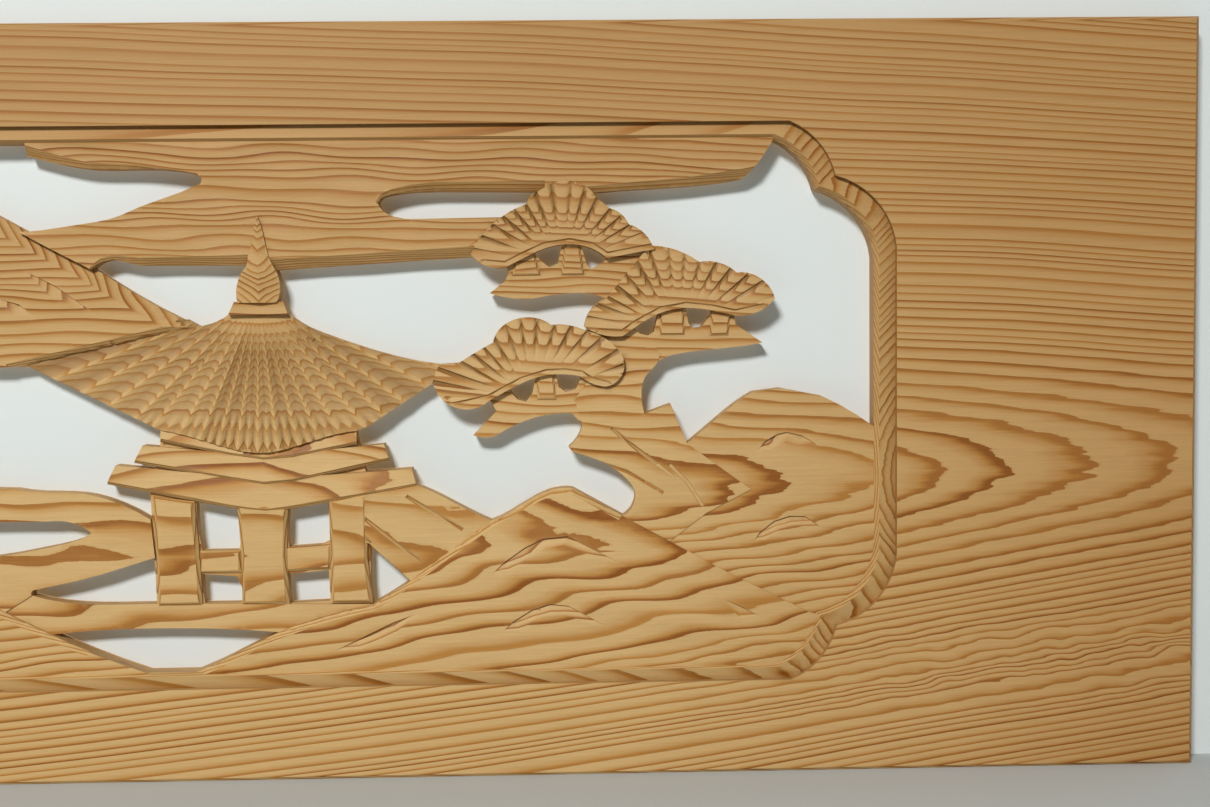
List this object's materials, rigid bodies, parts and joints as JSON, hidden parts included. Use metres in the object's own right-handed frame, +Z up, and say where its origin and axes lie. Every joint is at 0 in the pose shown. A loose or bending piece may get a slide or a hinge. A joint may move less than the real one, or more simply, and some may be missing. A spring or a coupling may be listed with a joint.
{
  "type": "carved transom panel",
  "caption": "Long wooden transom panel: a plain border as frame and, in a moulded opening, a landscape with a temple hall, a pine, hills and clouds in pierced low relief.",
  "frame": {"origin": "middle of the panel's lower edge, halfway through its thickness", "axes": "+X along the panel to the right as seen from the front, +Y out of the flat back, +Z up"},
  "size_m": [0.89, 0.015, 0.36],
  "materials": {
    "cedar": "satin"
  },
  "bodies": {
    "root": {"carved_panel": "cedar"}
  },
  "joints": []
}
